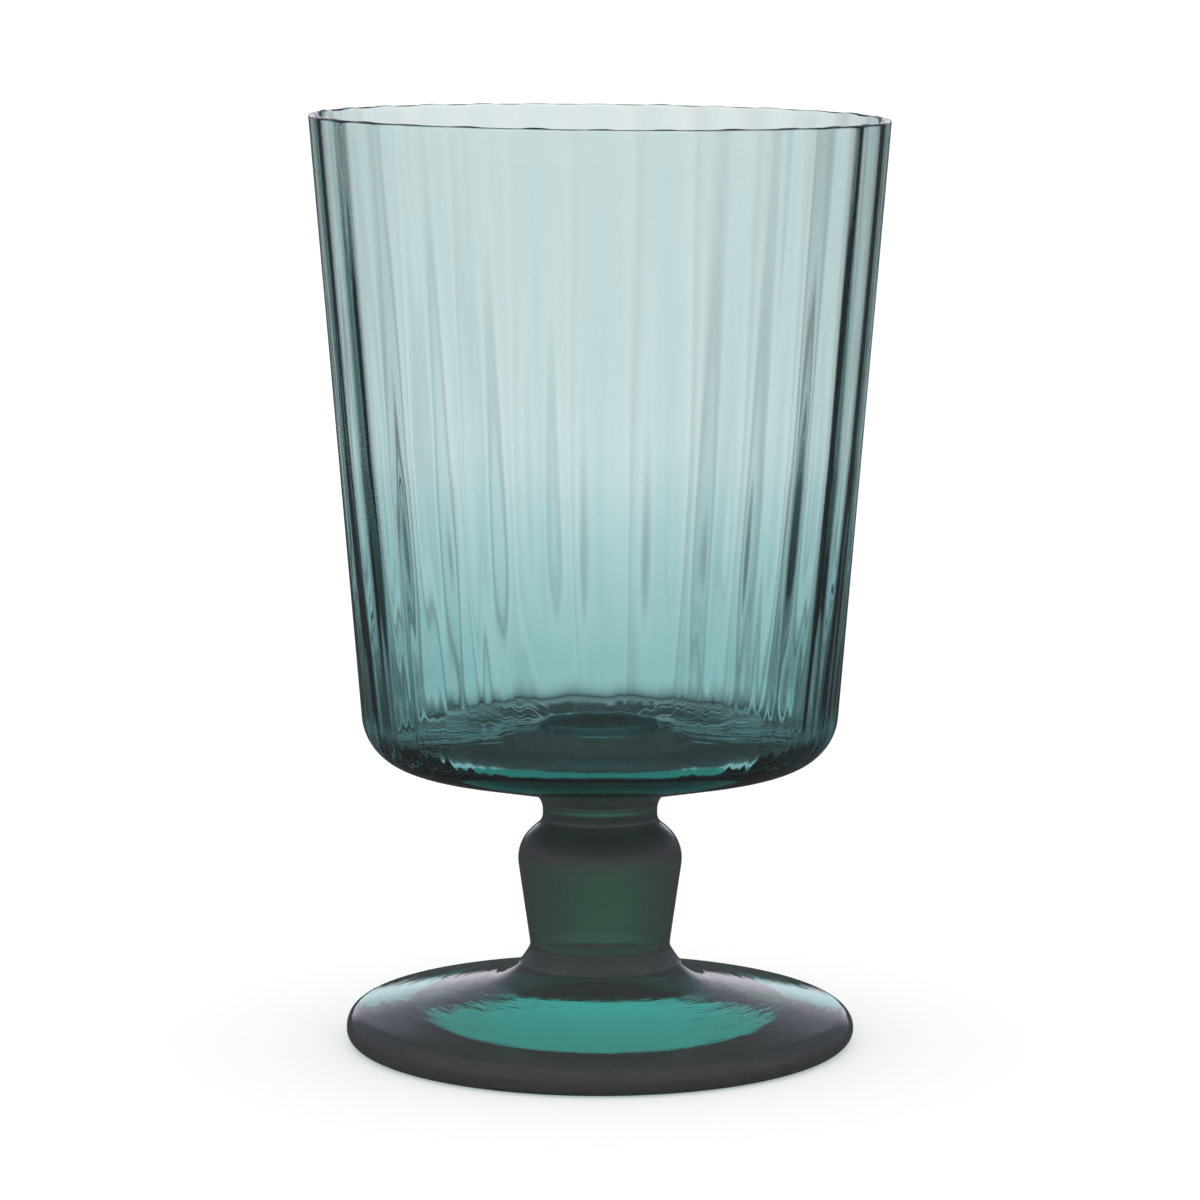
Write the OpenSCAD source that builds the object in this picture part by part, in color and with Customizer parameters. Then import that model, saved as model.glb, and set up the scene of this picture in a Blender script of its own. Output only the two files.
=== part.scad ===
// Short-stemmed goblet of blown glass, in millimetres.
// It stands on the plane z = 0 with its axis on Z. Five gathers of glass are worked onto each
// other hot: the bowl, a small collar, the baluster stem, a second collar and the foot. Each is
// a solid of its own, and they meet face to face at the welds.
// One outline, from the foot's edge up to the rim, is shared by all five, so the profile
// runs on smoothly over each weld whatever size is changed.

/* [Bowl] */
// Outer diameter at the rim
rim_d = 86.6; // [76:0.2:100]
// Outer diameter where the wall and the underside would meet in a sharp corner
corner_d = 71; // [60:0.2:76]
// Radius of that corner outside
corner_round = 8; // [4:0.5:12]
// Height of the wall, from the sharp corner up to the rim
wall_h = 96; // [80:1:120]
// How far the underside climbs from the stem to the sharp corner
underside_rise = 6; // [3:0.2:9]

/* [Wall and ribs] */
// Thickness of the wall at the rim
rim_wall = 0.95; // [0.9:0.05:1.6]
// Thickness of the wall where it begins to swell
bend_wall = 1.15; // [1:0.05:2.2]
// Height at which the wall begins to swell, above the sharp corner
bend_h = 46; // [30:1:60]
// Distance from the outer to the inner corner, measured sideways
base_wall = 3.5; // [2.6:0.1:6]
// Distance from the outer to the inner corner, measured upwards
base_floor = 1.2; // [0.8:0.1:4]
// Radius of the inner corner
inner_round = 5; // [3:0.5:8]
// Number of ribs that the mould presses into the glass
rib_count = 28; // [16:1:32]
// Height of a rib above the mean surface
rib_h = 0.3; // [0.1:0.05:0.4]

/* [Floor] */
// Diameter of the round well in the middle of the bowl's floor
well_d = 19; // [12:0.5:26]
// How far the well's lip stands above the inner corner
lip_rise = 3.5; // [1:0.1:5]
// Depth of the well below its lip
well_depth = 2; // [0.6:0.1:2.6]

/* [Stem] */
// Diameter of the neck under the bowl
neck_d = 17.4; // [14:0.2:20]
// Height of the neck, up to the bowl's underside
neck_h = 4.2; // [3:0.1:7]
// Diameter of the baluster at its shoulder, before rounding
shoulder_d = 25.7; // [22:0.2:32]
// Height over which the neck widens to the shoulder
shoulder_h = 3.4; // [2.5:0.1:6]
// Height of the baluster from the waist to the shoulder
baluster_h = 16; // [12:0.5:24]
// Diameter of the waist above the foot
waist_d = 21.1; // [17:0.2:22]
// Height of the waist above the table
waist_h = 14.4; // [13.5:0.1:18]

/* [Foot] */
// Diameter of the foot
foot_d = 77.2; // [68:0.2:90]
// Thickness of the foot at its edge
edge_h = 4.3; // [3.6:0.1:5.2]
// Height of the foot where the flare runs into the disc
flare_h = 9.8; // [8:0.1:10.4]
// Diameter at which the flare and the disc would meet in a sharp corner
flare_d = 27; // [25:0.5:32]
// Diameter of the hollow under the foot
hollow_d = 54; // [46:0.5:60]
// Height of the hollow in the middle
hollow_h = 6.6; // [2:0.1:7.2]

/* [Hidden] */

// Colours of the glass, thin in the bowl and thick in the stem
bowl_glass = [0.47, 0.71, 0.69, 0.55];
stem_glass = [0.16, 0.33, 0.29, 0.9];
foot_glass = [0.17, 0.52, 0.48, 0.8];

// Fillets along the outer outline
lip_round = 0.35;
underside_round = 3.2;
neck_round = 2;
shoulder_round = 6;
waist_round = 2;
flare_round = 9;
edge_round = 2.8;
base_round = 1.9;

// Fillets along the inside of the bowl and under the foot
bend_round = 90;
well_lip_round = 0.8;
well_round = 1;
hollow_round = 6;

// Welds between the pieces, measured from the neck and the waist
seat_rise = 0.6;
neck_weld_rise = 0.3;
waist_weld_rise = 2.6;
waist_weld_drop = 2.4;

// How far the cut of the bowl runs past the rim
overrun = 1;

// Widths of the flat bottoms of the well and of the hollow, as shares of their own
well_floor_share = 0.85;
hollow_top_share = 0.06;

// Where the ribs reach their full height, as a share of the way from the corner to the bend
rib_run_in_share = 0.75;

// Rib height as a share of the full height: at the rim, where the wall bends, and at the corner
rim_rib_share = 0.45;
bend_rib_share = 0.95;
corner_rib_share = 0.1;

// Steps in a full turn, in a fillet, in a fillet of the ribbed inside, in one rib and in
// the rim's edge
turn_steps = 96;
round_steps = 10;
inner_steps = 4;
rib_steps = 6;
lip_steps = 2;

// Radii
rim_r = rim_d / 2;
corner_r = corner_d / 2;
neck_r = neck_d / 2;
shoulder_r = shoulder_d / 2;
waist_r = waist_d / 2;
flare_r = flare_d / 2;
foot_r = foot_d / 2;
hollow_r = hollow_d / 2;
well_r = well_d / 2;

// Levels above the table
shoulder_z = waist_h + baluster_h;
neck_z = shoulder_z + shoulder_h;
underside_z = neck_z + neck_h;
corner_z = underside_z + underside_rise;
bend_z = corner_z + bend_h;
rim_z = corner_z + wall_h;
floor_z = corner_z + base_floor;
full_rib_z = floor_z + (bend_z - floor_z) * rib_run_in_share;

// Levels of the welds
seat_z = underside_z + seat_rise;
neck_weld_z = neck_z + neck_weld_rise;
waist_weld_z = waist_h + waist_weld_rise;
foot_weld_z = waist_h - waist_weld_drop;

// Radii inside the bowl
bend_r = corner_r + (rim_r - corner_r) * bend_h / wall_h - bend_wall;
inner_rim_r = rim_r - rim_wall;
inner_corner_r = corner_r - base_wall;
full_rib_r = inner_corner_r + (bend_r - inner_corner_r) * rib_run_in_share;

// A path is a list of [radius, height, fillet]. These functions round its corners with arcs.
function spot(path, i) = [path[i][0], path[i][1]];
function unit(v) = v / norm(v);
function toward(path, i, j) = unit(spot(path, j) - spot(path, i));
function half_angle(path, i) = acos(toward(path, i, i - 1) * toward(path, i, i + 1)) / 2;
function is_end(path, i) = i == 0 || i == len(path) - 1;
function wanted(path, i) = is_end(path, i) ? 0 : path[i][2] / tan(half_angle(path, i));
function room(path, i) =
    let (need = wanted(path, i) + wanted(path, i + 1))
    need == 0 ? 1 : min(1, norm(spot(path, i + 1) - spot(path, i)) / need);
function reach(path, i) = wanted(path, i) * min(room(path, i - 1), room(path, i));
function turned(from, to) = (to - from + 540) % 360 - 180;
function angle_of(v) = atan2(v[1], v[0]);

function corner_arc(path, i, steps) =
    let (
        half = half_angle(path, i),
        cut = reach(path, i),
        radius = cut * tan(half),
        back = toward(path, i, i - 1),
        ahead = toward(path, i, i + 1),
        centre = spot(path, i) + unit(back + ahead) * radius / sin(half),
        first = angle_of(spot(path, i) + back * cut - centre),
        last = angle_of(spot(path, i) + ahead * cut - centre)
    )
    [for (k = [0:steps])
        let (a = first + turned(first, last) * k / steps)
        centre + radius * [cos(a), sin(a)]];

function rounded(path, steps) = [
    for (i = [0:len(path) - 1])
        each is_end(path, i) || path[i][2] == 0 ? [spot(path, i)] : corner_arc(path, i, steps)
];

// The outside, from the resting ring over the edge, up the stem and on to the rim
outline = rounded([
    [hollow_r, 0, 0],
    [foot_r, 0, base_round],
    [foot_r, edge_h, edge_round],
    [flare_r, flare_h, flare_round],
    [waist_r, waist_h, waist_round],
    [shoulder_r, shoulder_z, shoulder_round],
    [neck_r, neck_z, neck_round],
    [neck_r, underside_z, underside_round],
    [corner_r, corner_z, corner_round],
    [rim_r, rim_z, lip_round],
    [0, rim_z, 0]
], round_steps);

// The arch of the hollow under the foot, from the axis out to the resting ring
hollow = rounded([
    [0, hollow_h, 0],
    [hollow_r * hollow_top_share, hollow_h, hollow_round],
    [hollow_r, 0, 0]
], round_steps);

function radius_at(z) = lookup(z, [for (p = outline) [p[1], p[0]]]);

// The part of the outline between two welds, closed along the axis
function between(low, high) = concat(
    [[0, low], [radius_at(low), low]],
    [for (p = outline) if (p[1] > low && p[1] < high) p],
    [[radius_at(high), high], [0, high]]
);

module turned_piece(low, high) {
    rotate_extrude($fn = turn_steps)
        polygon(between(low, high));
}

// The inside of the bowl, from the rim down the wall and over the floor into the well
lip_edge = [for (k = [0:lip_steps])
    let (a = 90 * k / lip_steps)
    [inner_rim_r + lip_round * (1 - sin(a)), rim_z - lip_round * (1 - cos(a))]];

inside = concat(
    [[lip_edge[0][0], rim_z + overrun]],
    lip_edge,
    [for (p = rounded([
        [inner_rim_r, rim_z, 0],
        [bend_r, bend_z, bend_round],
        [full_rib_r, full_rib_z, 0],
        [inner_corner_r, floor_z, inner_round],
        [well_r, floor_z + lip_rise, well_lip_round],
        [well_r * well_floor_share, floor_z + lip_rise - well_depth, well_round],
        [0, floor_z + lip_rise - well_depth, 0]
    ], inner_steps)) if (p[1] < rim_z) p]
);

// Full height on the lower wall, less towards the rim and the corner, none at the well
function rib_share(p) =
    lookup(p[1], [
        [floor_z, corner_rib_share],
        [full_rib_z, 1],
        [bend_z, bend_rib_share],
        [rim_z, rim_rib_share]
    ])
    * lookup(p[0], [[well_r, 0], [inner_corner_r, 1]]);

function facing(i) =
    let (along = unit(inside[min(i + 1, len(inside) - 1)] - inside[max(i - 1, 0)]))
    [along[1], -along[0]];

// One ring of the cavity, waved by the ribs. At the rim and above it the wave stays level.
function ring(i) =
    let (
        p = inside[i],
        n = facing(i),
        climb = p[1] < rim_z ? n[1] : 0,
        h = rib_h * rib_share(p)
    )
    [for (k = [0:rib_count * rib_steps - 1])
        let (
            a = 360 * k / (rib_count * rib_steps) - 90,
            swell = h * cos(360 * k / rib_steps),
            r = p[0] + n[0] * swell
        )
        [r * cos(a), r * sin(a), p[1] + climb * swell]];

// Ribbed cavity: rings of points joined by triangles, closed by a lid on top and a point below
module ribbed_inside() {
    around = rib_count * rib_steps;
    rings = len(inside) - 1;
    tip = rings * around;
    points = concat([for (i = [0:rings - 1]) each ring(i)], [[0, 0, inside[rings][1]]]);
    lid = [for (k = [0:around - 1]) around - 1 - k];
    sides = [for (i = [0:rings - 2], k = [0:around - 1])
        let (a = i * around + k, b = i * around + (k + 1) % around)
        each [[a, b, b + around], [a, b + around, a + around]]];
    bottom = [for (k = [0:around - 1])
        [tip - around + k, tip - around + (k + 1) % around, tip]];
    polyhedron(points = points, faces = concat([lid], sides, bottom));
}

module bowl() {
    color(bowl_glass)
        difference() {
            turned_piece(seat_z, rim_z);
            ribbed_inside();
        }
}

module upper_collar() {
    color(stem_glass)
        turned_piece(neck_weld_z, seat_z);
}

module baluster_stem() {
    color(stem_glass)
        turned_piece(waist_weld_z, neck_weld_z);
}

module lower_collar() {
    color(stem_glass)
        turned_piece(foot_weld_z, waist_weld_z);
}

module foot() {
    color(foot_glass)
        rotate_extrude($fn = turn_steps)
            polygon(concat(
                hollow,
                [for (p = outline) if (p[1] < foot_weld_z && p != hollow[len(hollow) - 1]) p],
                [[radius_at(foot_weld_z), foot_weld_z], [0, foot_weld_z]]
            ));
}

bowl();
upper_collar();
baluster_stem();
lower_collar();
foot();
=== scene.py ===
"""A short-stemmed goblet of teal blown glass on a white studio floor.

The five gathers of glass are closed meshes turned from one outline. The outline's sizes are
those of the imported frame, in metres. Ribs, drawn streaks and the slight leans of handwork are
real geometry, because clear glass shows little else.
"""
import math
import random

import bpy
from mathutils import Matrix, Vector, noise


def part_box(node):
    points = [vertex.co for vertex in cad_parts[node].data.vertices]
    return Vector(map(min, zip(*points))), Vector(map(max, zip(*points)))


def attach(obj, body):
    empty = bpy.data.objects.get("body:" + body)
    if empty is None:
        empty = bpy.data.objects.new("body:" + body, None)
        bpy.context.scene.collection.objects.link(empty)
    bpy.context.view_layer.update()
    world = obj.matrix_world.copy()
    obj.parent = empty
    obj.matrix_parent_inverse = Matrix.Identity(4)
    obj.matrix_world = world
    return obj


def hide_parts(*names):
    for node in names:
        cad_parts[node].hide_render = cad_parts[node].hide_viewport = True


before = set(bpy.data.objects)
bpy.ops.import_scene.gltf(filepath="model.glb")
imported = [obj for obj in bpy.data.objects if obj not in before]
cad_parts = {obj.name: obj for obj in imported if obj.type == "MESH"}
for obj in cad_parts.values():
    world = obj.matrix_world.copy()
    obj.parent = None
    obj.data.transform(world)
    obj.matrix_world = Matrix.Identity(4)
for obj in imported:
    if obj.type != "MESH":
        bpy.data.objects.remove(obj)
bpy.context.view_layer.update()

MM = 0.001

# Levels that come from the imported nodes
RIM_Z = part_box("bowl")[1][2]
SEAT_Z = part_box("bowl")[0][2]
NECK_WELD_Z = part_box("baluster_stem")[1][2]
WAIST_WELD_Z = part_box("lower_collar")[1][2]
FOOT_WELD_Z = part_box("foot")[1][2]
FOOT_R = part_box("foot")[1][0]

# Sizes of the outline, as on the solids
RIM_R = 43.3 * MM
CORNER_R, CORNER_Z = 35.5 * MM, 44.0 * MM
NECK_R = 8.7 * MM
UNDERSIDE_Z, NECK_Z = 38.0 * MM, 33.8 * MM
SHOULDER_R, SHOULDER_Z = 12.85 * MM, 30.4 * MM
WAIST_R, WAIST_Z = 10.55 * MM, 14.4 * MM
FLARE_R, FLARE_Z = 13.5 * MM, 9.8 * MM
EDGE_H = 4.3 * MM
HOLLOW_R, HOLLOW_H = 27.0 * MM, 6.6 * MM
HOLLOW_TOP_SHARE = 0.06

# Inside of the bowl, from the rim to the well in the middle of its floor
RIM_WALL = 0.95 * MM
BEND_R, BEND_Z = 38.09 * MM, 90.0 * MM
INNER_CORNER_R, FLOOR_Z = 32.0 * MM, 46.1 * MM
VALLEY_R, VALLEY_Z = 15.5 * MM, 46.2 * MM
WELL_R, WELL_LIP_Z, WELL_DEPTH = 9.25 * MM, 47.75 * MM, 3.6 * MM
WELL_FLOOR_SHARE = 0.85

# Fillets
LIP_ROUND = 0.42 * MM
EDGE_ROUND = 2.8 * MM
BASE_ROUND = 1.9 * MM
FLARE_ROUND = 9.0 * MM
WAIST_ROUND = 2.0 * MM
SHOULDER_ROUND = 6.0 * MM
NECK_ROUND = 2.0 * MM
UNDERSIDE_ROUND = 3.2 * MM
CORNER_ROUND = 8.0 * MM
BEND_ROUND = 90.0 * MM
INNER_ROUND = 4.0 * MM
VALLEY_ROUND = 4.0 * MM
WELL_LIP_ROUND = 0.8 * MM
WELL_ROUND = 1.0 * MM
HOLLOW_ROUND = 6.0 * MM

# Ribs inside the bowl: their full height, and shares of it where they are lower
RIB_COUNT = 28
RIB_H = 0.27 * MM
RIM_RIB_SHARE = 0.45
CORNER_RIB_SHARE = 0.1
VALLEY_RIB_SHARE = 0.3
# Levels between which the ribs grow above the corner, in front and behind, and the level from
# which they weaken towards the rim
RIB_RISE = (56.0 * MM, 80.0 * MM)
BACK_RIB_RISE = (44.0 * MM, 50.0 * MM)
RIB_FADE_Z = 70.0 * MM
# Where the ribs of the floor end, and how far those of the valley reach to both sides of it
FLOOR_RIB_R = 21.25 * MM
VALLEY_REACH = 5.0 * MM
# How uneven the ribs are: the least and greatest share of the height, and how far they wander
# in rib widths, with waves about the axis and waves per metre of height
RIB_SHARES = (0.6, 1.35)
RIB_SEED = 7
RIB_WANDER = 0.1
RIB_WANDER_AROUND, RIB_WANDER_ALONG = 2.0, 14.0
# Where the first rib is, as a share of a full turn
RIB_PHASE = 0.25

# Drawn streaks: (waves about the axis, waves per metre of height, share)
STREAK_H = 0.035 * MM
STREAKS = [(9.0, 9.0, 1.4), (24.0, 14.4, 0.9)]
OUTER_STREAK_SHARE, OUTER_STREAK_TURN = 0.3, 2.0
# They are deeper low on the wall, and more so behind: shares added below these levels
LOW_STREAKS, LOW_STREAK_FADE = 1.2, (55.0 * MM, 105.0 * MM)
BACK_STREAKS, BACK_STREAK_FADE = 1.5, (52.0 * MM, 80.0 * MM)
# The ring of the well that is streaked, in shares of its radius
WELL_STREAKS_FROM, WELL_STREAKS_TO = (0.7, 0.8), (1.0, 1.1)

# The sine of the angles about the axis between which the front of the bowl turns to its back
FRONT_TO_BACK = (-0.1, 0.5)

# The maker's leans: the rim's and the foot's, as slopes along X
RIM_LEAN = math.tan(math.radians(-0.6))
FOOT_LEAN = math.tan(math.radians(-0.4))
FOOT_LEAN_Z = 1.0 * MM

# Meshes
BOWL_AROUND = RIB_COUNT * 24
STEM_AROUND = 192
FOOT_AROUND = 256
SEAT_RINGS = 4
ARC_STEPS = 20
LONGEST_STEP = 1.2 * MM
SHARP_ANGLE = math.radians(50)
WELD_GAP = 0.02 * MM
FLAT_FACE = 0.999
FLOOR_GAP = 0.02 * MM

# Glass: the light that a millimetre takes away (red, green, blue) and the haze of dust
GLASS_IOR = 1.5
BOWL_TINT, BOWL_HAZE = (0.186, 0.083, 0.082), 0.012
STEM_TINT, STEM_HAZE = (0.42, 0.13, 0.165), 0.055
FOOT_TINT, FOOT_HAZE = (0.41, 0.096, 0.115), 0.048
DENSITY_MARGIN = 1.05

# Tooling marks on the foot: (rings per metre of radius, share), and how often they change
# about the axis
MARK_DEPTH = 0.06 * MM
MARK_RINGS = [(600.0, 1.0), (2200.0, 0.5)]
MARK_TURNS = 4.0
MARK_DETAIL = 2.0

# What the glass reflects, by elevation over the horizon in degrees. Behind the goblet the room
# is dim, with one bright band low over the table. In front of it the room is pale.
REFLECTED = [
    (0.0, (0.04, 0.05, 0.05)),
    (2.8, (0.04, 0.05, 0.05)),
    (3.1, (1.25, 1.22, 1.35)),
    (8.0, (1.15, 1.12, 1.25)),
    (13.0, (0.75, 0.73, 0.83)),
    (18.0, (0.38, 0.38, 0.47)),
    (23.0, (0.26, 0.27, 0.35)),
    (28.0, (0.13, 0.13, 0.16)),
    (35.0, (0.05, 0.05, 0.06)),
    (90.0, (0.03, 0.03, 0.035)),
]
REFLECTED_SIDE = (0.13, 0.13, 0.2)
ROOM_FRONT = (0.3, 0.3, 0.32)
# Where the room turns to its side and to its front, by the direction's X and Y
SIDE_FROM, SIDE_TO = 0.2, 0.5
FRONT_FROM, FRONT_TO = 0.3, -0.2

# The floor as the glass reflects it, with painted shade: dim behind and paler in front, and the Y where one
# turns to the other
FLOOR_BACK = (0.06, 0.065, 0.07)
FLOOR_FRONT = (0.35, 0.35, 0.36)
FLOOR_FRONT_FROM, FLOOR_FRONT_TO = -290 * MM, -340 * MM

# What is seen through the glass above the white floor, by elevation: a dim room
THROUGH = [
    (0.0, 0.8),
    (1.0, 0.4),
    (3.0, 0.14),
    (9.0, 0.07),
    (13.0, 0.07),
    (20.0, 0.25),
    (45.0, 0.3),
    (90.0, 0.1),
]

# The floor as seen through the glass, with a painted soft shadow of the goblet behind the foot.
# Tones by the distance from the shadow's middle, in half widths
SHADOW_MIDDLE = (0.0, 50 * MM)
SHADOW_REACH = (85 * MM, 48 * MM)
SHADOW_TONES = [
    (0.0, 0.03),
    (1.0, 0.04),
    (1.12, 0.14),
    (1.45, 0.36),
    (2.1, 0.62),
    (3.1, 0.84),
    (4.4, 0.96),
    (9.0, 1.0),
    (24.0, 0.95),
    (50.0, 0.92),
]
# The painted shadow's front edge by Y, and how much nearer it is to both sides
SHADOW_FRONT = (22 * MM, 28 * MM)
SHADOW_BOW = 0.35

# Painted light on the floor below the hollow foot: its tones from the front to the painted shadow's front
# edge
UNDER_TONES = [(-26 * MM, 0.6), (-10 * MM, 0.68), (2 * MM, 0.86), (8 * MM, 0.87)]

# How the light from behind falls off to both sides, by the slope of the direction, and how far
# its middle lies to the left. Straight to the left and right it is bright again.
SIDE_FALL = [(0.0, 1.0), (0.05, 1.0), (0.15, 0.9), (0.3, 0.68), (0.5, 0.4), (0.9, 0.2),
             (3.0, 0.2), (6.0, 0.85)]
LIGHT_SKEW = 0.045
# The least Y that a slope is measured with: on the floor, and of a direction
FLOOR_NEAREST = 60 * MM
ROOM_NEAREST = 0.05

# The floor: its half width, its tone for scattered light, and its colour and glow for the camera
FLOOR_HALF = 12.0
FLOOR_TONE = (0.9, 0.9, 0.9)
FLOOR_COLOUR = (0.8, 0.8, 0.8)
FLOOR_GLOW = 0.3
WHITE = (1.0, 1.0, 1.0)

# Camera, fitted to the photo: focal length and width in its pixels, and place
FOCAL_PX, IMAGE_PX = 4823.3, 1200
SENSOR_MM = 36.0
CAMERA_BACK, CAMERA_H = 719.2 * MM, 171.9 * MM
CAMERA_DOWN = 8.268

LIGHT_BOUNCES = 32
TRANSPARENT_BOUNCES = 16


# Outlines

def rounded(path):
    """Rounds the corners of a list of (radius, height, fillet) with arcs.

    The two ends have no fillet. Where two fillets need more room than the stretch between them
    has, both shrink.
    """
    points = [Vector(p[:2]) for p in path]
    inner = range(1, len(path) - 1)
    halves, wanted = [0.0], [0.0]
    for i in inner:
        back = (points[i - 1] - points[i]).normalized()
        ahead = (points[i + 1] - points[i]).normalized()
        halves.append(back.angle(ahead) / 2)
        wanted.append(path[i][2] / math.tan(halves[i]))
    wanted.append(0.0)
    room = []
    for i in range(len(path) - 1):
        length = (points[i + 1] - points[i]).length
        room.append(min(1.0, length / (wanted[i] + wanted[i + 1])))
    result = [points[0]]
    for i in inner:
        reach = wanted[i] * min(room[i - 1], room[i])
        back = (points[i - 1] - points[i]).normalized()
        ahead = (points[i + 1] - points[i]).normalized()
        radius = reach * math.tan(halves[i])
        centre = points[i] + (back + ahead).normalized() * radius / math.sin(halves[i])
        first = points[i] + back * reach - centre
        turn = first.angle_signed(points[i] + ahead * reach - centre)
        for k in range(ARC_STEPS + 1):
            arm = first.copy()
            arm.rotate(Matrix.Rotation(-turn * k / ARC_STEPS, 2))
            result.append(centre + arm)
    result.append(points[-1])
    return result


def fine(points):
    """Splits the long straight stretches of an outline."""
    result = []
    for a, b in zip(points, points[1:]):
        count = max(1, math.ceil((b - a).length / LONGEST_STEP))
        result += [a.lerp(b, k / count) for k in range(count)]
    result.append(points[-1])
    return result


OUTLINE = rounded([
    (HOLLOW_R, 0.0),
    (FOOT_R, 0.0, BASE_ROUND),
    (FOOT_R, EDGE_H, EDGE_ROUND),
    (FLARE_R, FLARE_Z, FLARE_ROUND),
    (WAIST_R, WAIST_Z, WAIST_ROUND),
    (SHOULDER_R, SHOULDER_Z, SHOULDER_ROUND),
    (NECK_R, NECK_Z, NECK_ROUND),
    (NECK_R, UNDERSIDE_Z, UNDERSIDE_ROUND),
    (CORNER_R, CORNER_Z, CORNER_ROUND),
    (RIM_R, RIM_Z, LIP_ROUND),
    (RIM_R - RIM_WALL / 2, RIM_Z),
])

INSIDE = rounded([
    (RIM_R - RIM_WALL / 2, RIM_Z),
    (RIM_R - RIM_WALL, RIM_Z, LIP_ROUND),
    (BEND_R, BEND_Z, BEND_ROUND),
    (INNER_CORNER_R, FLOOR_Z, INNER_ROUND),
    (VALLEY_R, VALLEY_Z, VALLEY_ROUND),
    (WELL_R, WELL_LIP_Z, WELL_LIP_ROUND),
    (WELL_R * WELL_FLOOR_SHARE, WELL_LIP_Z - WELL_DEPTH, WELL_ROUND),
    (0.0, WELL_LIP_Z - WELL_DEPTH),
])

HOLLOW = rounded([
    (0.0, HOLLOW_H),
    (HOLLOW_R * HOLLOW_TOP_SHARE, HOLLOW_H, HOLLOW_ROUND),
    (HOLLOW_R, 0.0),
])


def radius_at(z):
    """The outline's radius at a level."""
    for a, b in zip(OUTLINE, OUTLINE[1:]):
        if a.y <= z <= b.y and b.y > a.y:
            return a.x + (b.x - a.x) * (z - a.y) / (b.y - a.y)
    raise ValueError(z)


def between(low, high):
    """The outside between two levels."""
    inner = [p for p in OUTLINE if low < p.y < high]
    return [Vector((radius_at(low), low))] + inner + [Vector((radius_at(high), high))]


# Meshes

def revolve(name, profile, move, around):
    """Turns a closed profile, which starts and ends on the axis, into a mesh.

    move(point, normal, angle) gives the place of a vertex.
    """
    verts, faces = [], []
    rows = profile[1:-1]
    for i, p in enumerate(rows):
        along = (profile[i + 2] - profile[i]).normalized()
        normal = Vector((along.y, -along.x))
        for k in range(around):
            verts.append(move(p, normal, 2 * math.pi * k / around))
    for i in range(len(rows) - 1):
        for k in range(around):
            a, b = i * around + k, i * around + (k + 1) % around
            faces.append((a, b, b + around, a + around))
    first, last = len(verts), len(verts) + 1
    verts.append(move(profile[0], Vector((0.0, -1.0)), 0.0))
    verts.append(move(profile[-1], Vector((0.0, 1.0)), 0.0))
    top = (len(rows) - 1) * around
    for k in range(around):
        following = (k + 1) % around
        faces.append((first, following, k))
        faces.append((last, top + k, top + following))
    mesh = bpy.data.meshes.new(name)
    mesh.from_pydata([tuple(v) for v in verts], [], faces)
    mesh.validate()
    mesh.shade_smooth()
    mesh.set_sharp_from_angle(angle=SHARP_ANGLE)
    obj = bpy.data.objects.new(name, mesh)
    bpy.context.scene.collection.objects.link(obj)
    return obj


def mark_welds(obj, levels):
    """Sets the weld attribute to 1 on flat faces at the given levels."""
    mesh = obj.data
    layer = mesh.attributes.new("weld", "FLOAT", "FACE")
    for face in mesh.polygons:
        flat = abs(face.normal.z) > FLAT_FACE
        near = any(abs(face.center.z - level) < WELD_GAP * 2 for level in levels)
        layer.data[face.index].value = 1.0 if flat and near else 0.0


def smoothstep(x, low, high):
    t = min(max((x - low) / (high - low), 0.0), 1.0)
    return t * t * (3 - 2 * t)


def backness(angle):
    """0 on the front of the bowl, 1 on its back."""
    return smoothstep(math.sin(angle), *FRONT_TO_BACK)


random.seed(RIB_SEED)
RIB_VARIANCE = [random.uniform(*RIB_SHARES) for _ in range(RIB_COUNT)]


def wander(angle, z, around, along):
    """Smooth noise over the bowl's wall."""
    return noise.noise(Vector((math.cos(angle) * around, math.sin(angle) * around, z * along)))


def rib_wave(angle, z):
    """The ribs' wave at an angle about the axis, from about -1 to 1, a little uneven."""
    turn = (angle / (2 * math.pi) + RIB_PHASE) * RIB_COUNT
    turn += RIB_WANDER * wander(angle, z, RIB_WANDER_AROUND, RIB_WANDER_ALONG)
    index = math.floor(turn + 0.5)
    part = turn - index
    a = RIB_VARIANCE[index % RIB_COUNT]
    b = RIB_VARIANCE[(index + (1 if part > 0 else -1)) % RIB_COUNT]
    size = a + (b - a) * abs(part)
    return size * math.cos(2 * math.pi * part)


def rib_height(p, angle):
    """Height of the ribs along the inside: full on the lower wall, less at the rim and corner.

    In front, where one looks through to the floor, the ribs fade out sooner above the corner.
    """
    on_wall = 1.0 + (RIM_RIB_SHARE - 1.0) * smoothstep(p.y, RIB_FADE_Z, RIM_Z)
    behind = backness(angle)
    corner = (1.0 - smoothstep(p.y, *RIB_RISE)) * (1.0 - behind)
    corner += (1.0 - smoothstep(p.y, *BACK_RIB_RISE)) * behind
    on_wall *= 1.0 + (CORNER_RIB_SHARE - 1.0) * corner
    on_floor = smoothstep(p.x, FLOOR_RIB_R, INNER_CORNER_R)
    valley = 1.0 - smoothstep(abs(p.x - VALLEY_R), 0.0, VALLEY_REACH)
    return RIB_H * (on_wall * on_floor + VALLEY_RIB_SHARE * valley)


def streak_wave(angle, z):
    """Fine uneven waves that run down the wall beside the ribs, from about -1 to 1."""
    return sum(share * wander(angle, z, around, along) for around, along, share in STREAKS)


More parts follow.
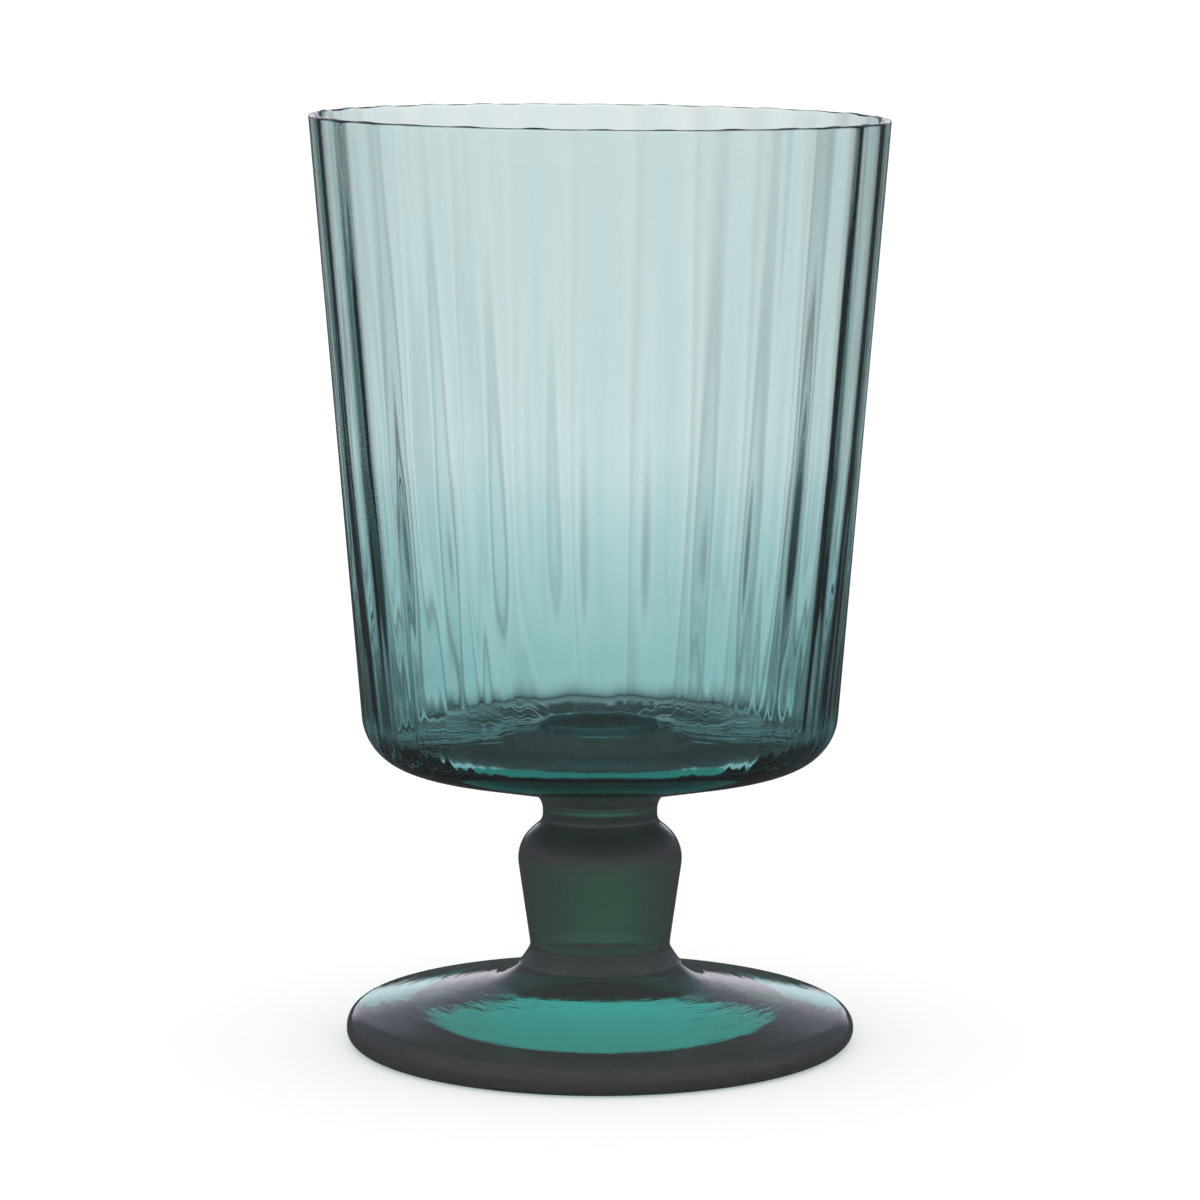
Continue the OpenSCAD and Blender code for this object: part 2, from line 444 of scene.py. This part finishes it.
def streak_height(p, angle):
    """Height of the streaks along the wall and round the edge of the well."""
    on_wall = smoothstep(p.x, WELL_R, INNER_CORNER_R) * smoothstep(p.y, SEAT_Z, CORNER_Z)
    on_wall *= (1.0 + LOW_STREAKS * (1.0 - smoothstep(p.y, *LOW_STREAK_FADE))
                + BACK_STREAKS * backness(angle) * (1.0 - smoothstep(p.y, *BACK_STREAK_FADE)))
    share = p.x / WELL_R
    in_well = smoothstep(share, *WELL_STREAKS_FROM) * (1.0 - smoothstep(share, *WELL_STREAKS_TO))
    return STREAK_H * (on_wall + in_well)


def make_bowl():
    outside = fine(between(SEAT_Z, RIM_Z))
    inside = fine(INSIDE)
    bottom = Vector((0.0, SEAT_Z))
    seat = [bottom.lerp(outside[0], k / SEAT_RINGS) for k in range(SEAT_RINGS)]
    profile = seat + outside + inside[1:]
    is_inside = {id(p) for p in inside[1:]}
    lip_z = RIM_Z - 2 * LIP_ROUND

    def move(p, normal, angle):
        r, z = p.x, p.y
        if id(p) in is_inside:
            swell = rib_height(p, angle) * rib_wave(angle, z)
            swell += streak_height(p, angle) * streak_wave(angle, z)
            r += normal.x * swell
            z += normal.y * swell
        elif CORNER_Z < z < lip_z:
            swell = streak_height(p, angle) * streak_wave(angle + OUTER_STREAK_TURN, z)
            r += normal.x * OUTER_STREAK_SHARE * swell
        x, y = r * math.cos(angle), r * math.sin(angle)
        z += x * RIM_LEAN * smoothstep(z, CORNER_Z, RIM_Z)
        return x, y, z

    obj = revolve("bowl_glass", profile, move, BOWL_AROUND)
    mark_welds(obj, [SEAT_Z])
    return obj


def make_turned(name, low, high):
    """A plain turned piece of the stem between two welds."""
    low_z, high_z = low, high - WELD_GAP
    outside = fine(between(low_z, high_z))
    profile = [Vector((0.0, low_z))] + outside + [Vector((0.0, high_z))]

    def move(p, normal, angle):
        return p.x * math.cos(angle), p.x * math.sin(angle), p.y

    obj = revolve(name, profile, move, STEM_AROUND)
    mark_welds(obj, [low_z, high_z])
    return obj


def make_foot():
    high_z = FOOT_WELD_Z - WELD_GAP
    outside = [p for p in OUTLINE if p.y < high_z and p is not OUTLINE[0]]
    outside.append(Vector((radius_at(high_z), high_z)))
    profile = fine(HOLLOW + outside) + [Vector((0.0, high_z))]

    def move(p, normal, angle):
        x, y, z = p.x * math.cos(angle), p.x * math.sin(angle), p.y
        if normal.y > 0.0:
            top = smoothstep(z, FOOT_LEAN_Z, EDGE_H) * (1.0 - smoothstep(z, FLARE_Z, FOOT_WELD_Z))
            z += x * FOOT_LEAN * top
        return x, y, z

    obj = revolve("foot_glass", profile, move, FOOT_AROUND)
    mark_welds(obj, [high_z])
    return obj


# Materials

class Graph:
    """Short calls for the nodes of one tree."""

    def __init__(self, tree):
        tree.nodes.clear()
        self.tree = tree

    def node(self, kind, **settings):
        made = self.tree.nodes.new("ShaderNode" + kind)
        for key, value in settings.items():
            setattr(made, key, value)
        return made

    def link(self, source, target):
        self.tree.links.new(source, target)

    def math(self, operation, *values):
        made = self.node("Math", operation=operation)
        for socket, value in zip(made.inputs, values):
            if isinstance(value, (int, float)):
                socket.default_value = value
            else:
                self.link(value, socket)
        return made.outputs[0]

    def axes(self, vector):
        """The X, Y and Z of a vector."""
        made = self.node("SeparateXYZ")
        self.link(vector, made.inputs[0])
        return made.outputs["X"], made.outputs["Y"], made.outputs["Z"]

    def smooth(self, value, low, high):
        """A smooth step from 0 at low to 1 at high."""
        made = self.node("MapRange", interpolation_type="SMOOTHSTEP")
        made.inputs["From Min"].default_value = low
        made.inputs["From Max"].default_value = high
        self.link(value, made.inputs["Value"])
        return made.outputs["Result"]

    def ramp(self, value, stops):
        """A colour ramp through (place, tone or colour)."""
        made = self.node("ValToRGB")
        self.link(value, made.inputs["Fac"])
        elements = made.color_ramp.elements
        while len(elements) > 1:
            elements.remove(elements[-1])
        for i, (place, colour) in enumerate(stops):
            element = elements[0] if i == 0 else elements.new(place)
            element.position = place
            if isinstance(colour, float):
                colour = (colour, colour, colour)
            element.color = (*colour, 1)
        return made.outputs["Color"]

    def tone(self, value, stops):
        """A grey tone that follows (value, tone) stops."""
        low, high = stops[0][0], stops[-1][0]
        share = self.math("DIVIDE", self.math("SUBTRACT", value, low), high - low)
        return self.ramp(share, [((v - low) / (high - low), t) for v, t in stops])

    def by_elevation(self, height, stops):
        """A ramp over the sine of the elevation, with its stops in degrees."""
        return self.ramp(height, [(math.sin(math.radians(a)), c) for a, c in stops])

    def side_fall(self, across, ahead, nearest):
        """The fall of the light to both sides of the direction straight behind."""
        slope = self.math("DIVIDE", across, self.math("MAXIMUM", ahead, nearest))
        return self.tone(self.math("ABSOLUTE", self.math("ADD", slope, LIGHT_SKEW)), SIDE_FALL)

    def choose(self, factor, off, on):
        made = self.node("MixShader")
        self.link(factor, made.inputs["Fac"])
        self.link(off, made.inputs[1])
        self.link(on, made.inputs[2])
        return made.outputs[0]

    def light(self, kind, colour, strength=1.0):
        made = self.node(kind)
        if isinstance(colour, tuple):
            made.inputs["Color"].default_value = (*colour, 1)
        else:
            self.link(colour, made.inputs["Color"])
        made.inputs["Strength"].default_value = strength
        return made.outputs[0]

    def diffuse(self, colour):
        made = self.node("BsdfDiffuse")
        made.inputs["Color"].default_value = (*colour, 1)
        return made.outputs[0]


def tooling_marks(g, depth):
    """Fine uneven rings about the axis, as the maker's paddle leaves them."""
    x, y, _ = g.axes(g.node("TexCoord").outputs["Object"])
    reach = g.math("SQRT", g.math("ADD", g.math("MULTIPLY", x, x), g.math("MULTIPLY", y, y)))
    turn = g.math("ARCTAN2", y, x)
    layers = []
    for rings, share in MARK_RINGS:
        spot = g.node("CombineXYZ")
        g.link(g.math("MULTIPLY", reach, rings), spot.inputs["X"])
        g.link(g.math("MULTIPLY", g.math("COSINE", turn), MARK_TURNS), spot.inputs["Y"])
        g.link(g.math("MULTIPLY", g.math("SINE", turn), MARK_TURNS), spot.inputs["Z"])
        grain = g.node("TexNoise")
        grain.inputs["Scale"].default_value = 1.0
        grain.inputs["Detail"].default_value = MARK_DETAIL
        g.link(spot.outputs[0], grain.inputs["Vector"])
        layers.append(g.math("MULTIPLY", grain.outputs["Fac"], share))
    bump = g.node("Bump")
    bump.inputs["Strength"].default_value = 1.0
    bump.inputs["Distance"].default_value = depth
    g.link(g.math("ADD", *layers), bump.inputs["Height"])
    return bump.outputs["Normal"]


def make_glass(name, per_mm, haze, marks=0.0):
    """Clear glass that takes away light by per_mm (red, green, blue) for each millimetre.

    haze is the share of light that the dusty surface scatters, and marks the depth of its
    tooling marks. Light passes straight through the faces that the weld attribute marks.
    """
    material = bpy.data.materials.new(name)
    material.use_nodes = True
    g = Graph(material.node_tree)
    out = g.node("OutputMaterial")
    surface = g.node("BsdfPrincipled")
    surface.inputs["Base Color"].default_value = (1, 1, 1, 1)
    surface.inputs["Transmission Weight"].default_value = 1.0 - haze
    surface.inputs["Roughness"].default_value = 0.0
    surface.inputs["IOR"].default_value = GLASS_IOR
    weld = g.node("Attribute", attribute_name="weld")
    ior = g.node("MapRange")
    ior.inputs["To Min"].default_value = GLASS_IOR
    ior.inputs["To Max"].default_value = 1.0
    g.link(weld.outputs["Fac"], ior.inputs["Value"])
    g.link(ior.outputs["Result"], surface.inputs["IOR"])
    if marks:
        g.link(tooling_marks(g, marks), surface.inputs["Normal"])
    g.link(surface.outputs["BSDF"], out.inputs["Surface"])
    volume = g.node("VolumeAbsorption")
    density = max(per_mm) * DENSITY_MARGIN / MM
    volume.inputs["Density"].default_value = density
    volume.inputs["Color"].default_value = [1 - k / MM / density for k in per_mm] + [1]
    g.link(volume.outputs["Volume"], out.inputs["Volume"])
    return material


# Studio

def mirrored_floor(g, y):
    """The floor that the glass reflects, with painted shade in place of its white."""
    dim = g.light("Emission", FLOOR_BACK)
    pale = g.light("Emission", FLOOR_FRONT)
    return g.choose(g.smooth(y, FLOOR_FRONT_FROM, FLOOR_FRONT_TO), dim, pale)


def floor_through(g, x, y):
    """The floor that is seen through the glass, with a painted soft shadow of the goblet and painted light
    below the foot.
    """
    squares = []
    for place, middle, reach in zip((x, y), SHADOW_MIDDLE, SHADOW_REACH):
        off = g.math("DIVIDE", g.math("SUBTRACT", place, middle), reach)
        squares.append(g.math("MULTIPLY", off, off))
    distance = g.math("SQRT", g.math("ADD", *squares))
    # Painted shadow behind the foot, times a painted fall of the light to both sides
    behind = g.math("MULTIPLY", g.tone(distance, SHADOW_TONES), g.side_fall(x, y, FLOOR_NEAREST))
    # Painted light on the floor below the hollow foot
    below = g.tone(y, UNDER_TONES)
    bowed = g.math("ADD", y, g.math("MULTIPLY", g.math("ABSOLUTE", x), SHADOW_BOW))
    return g.choose(g.smooth(bowed, *SHADOW_FRONT), g.light("Emission", below), g.light("Emission", behind))


def make_floor():
    """A white floor. Glass reflects it dimmer, as painted shade, and shows a painted shadow of itself on
    it.
    """
    mesh = bpy.data.meshes.new("studio_floor")
    s, z = FLOOR_HALF, -FLOOR_GAP
    mesh.from_pydata([(-s, -s, z), (s, -s, z), (s, s, z), (-s, s, z)], [], [(0, 1, 2, 3)])
    floor = bpy.data.objects.new("studio_floor", mesh)
    bpy.context.scene.collection.objects.link(floor)
    material = bpy.data.materials.new("floor_white")
    material.use_nodes = True
    g = Graph(material.node_tree)
    out = g.node("OutputMaterial")
    paths = g.node("LightPath").outputs
    x, y, _ = g.axes(g.node("NewGeometry").outputs["Position"])
    white = g.node("AddShader")
    g.link(g.diffuse(FLOOR_COLOUR), white.inputs[0])
    g.link(g.light("Emission", WHITE, FLOOR_GLOW), white.inputs[1])
    # A ray that was refracted out of the glass is both a glossy and a transmission ray
    only_mirrored = g.math("SUBTRACT", paths["Is Glossy Ray"], paths["Is Transmission Ray"])
    # Reflected rays see the floor with painted shade
    seen = g.choose(only_mirrored, g.diffuse(FLOOR_TONE), mirrored_floor(g, y))
    # Refracted rays see the floor with a painted shadow and painted light
    seen = g.choose(paths["Is Transmission Ray"], seen, floor_through(g, x, y))
    seen = g.choose(paths["Is Camera Ray"], seen, white.outputs[0])
    g.link(seen, out.inputs["Surface"])
    floor.data.materials.append(material)


def make_world():
    """A white room, which is also the soft light. Glass sees a dimmer room in its place."""
    world = bpy.data.worlds.new("studio")
    bpy.context.scene.world = world
    world.use_nodes = True
    g = Graph(world.node_tree)
    out = g.node("OutputWorld")
    paths = g.node("LightPath").outputs
    x, y, height = g.axes(g.node("TexCoord").outputs["Generated"])
    white = g.light("Background", WHITE)
    straight = g.light("Background", g.by_elevation(height, REFLECTED))
    beside = g.light("Background", REFLECTED_SIDE)
    back = g.choose(g.smooth(g.math("ABSOLUTE", x), SIDE_FROM, SIDE_TO), straight, beside)
    front = g.light("Background", ROOM_FRONT)
    mirrored = g.choose(g.smooth(y, FRONT_FROM, FRONT_TO), back, front)
    through = g.math("MULTIPLY", g.by_elevation(height, THROUGH), g.side_fall(x, y, ROOM_NEAREST))
    seen = g.choose(paths["Is Glossy Ray"], white, mirrored)
    seen = g.choose(paths["Is Transmission Ray"], seen, g.light("Background", through))
    scattered = g.math("GREATER_THAN", paths["Diffuse Depth"], 0.5)
    seen = g.choose(scattered, seen, white)
    g.link(seen, out.inputs["Surface"])


def make_camera():
    camera = bpy.data.cameras.new("camera")
    camera.sensor_width = SENSOR_MM
    camera.lens = FOCAL_PX / IMAGE_PX * SENSOR_MM
    obj = bpy.data.objects.new("camera", camera)
    obj.location = (0.0, -CAMERA_BACK, CAMERA_H)
    obj.rotation_euler = (math.radians(90 - CAMERA_DOWN), 0.0, 0.0)
    bpy.context.scene.collection.objects.link(obj)
    bpy.context.scene.camera = obj


def main():
    bowl_glass = make_glass("bowl_glass", BOWL_TINT, BOWL_HAZE)
    stem_glass = make_glass("stem_glass", STEM_TINT, STEM_HAZE)
    foot_glass = make_glass("foot_glass", FOOT_TINT, FOOT_HAZE, MARK_DEPTH)
    bowl = make_bowl()
    upper_collar = make_turned("upper_collar_glass", NECK_WELD_Z, SEAT_Z)
    baluster = make_turned("baluster_glass", WAIST_WELD_Z, NECK_WELD_Z)
    lower_collar = make_turned("lower_collar_glass", FOOT_WELD_Z, WAIST_WELD_Z)
    foot = make_foot()
    pieces = {
        "bowl": (bowl, bowl_glass, "bowl_glass"),
        "upper_collar": (upper_collar, stem_glass, "stem_glass"),
        "baluster_stem": (baluster, stem_glass, "stem_glass"),
        "lower_collar": (lower_collar, stem_glass, "stem_glass"),
        "foot": (foot, foot_glass, "foot_glass"),
    }
    for node, (piece, material, slot) in pieces.items():
        piece.data.materials.append(material)
        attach(piece, "root")
        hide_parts(node)
    make_floor()
    make_world()
    make_camera()
    scene = bpy.context.scene
    scene.view_settings.view_transform = "Standard"
    scene.cycles.max_bounces = LIGHT_BOUNCES
    scene.cycles.transmission_bounces = LIGHT_BOUNCES
    scene.cycles.transparent_max_bounces = TRANSPARENT_BOUNCES


main()
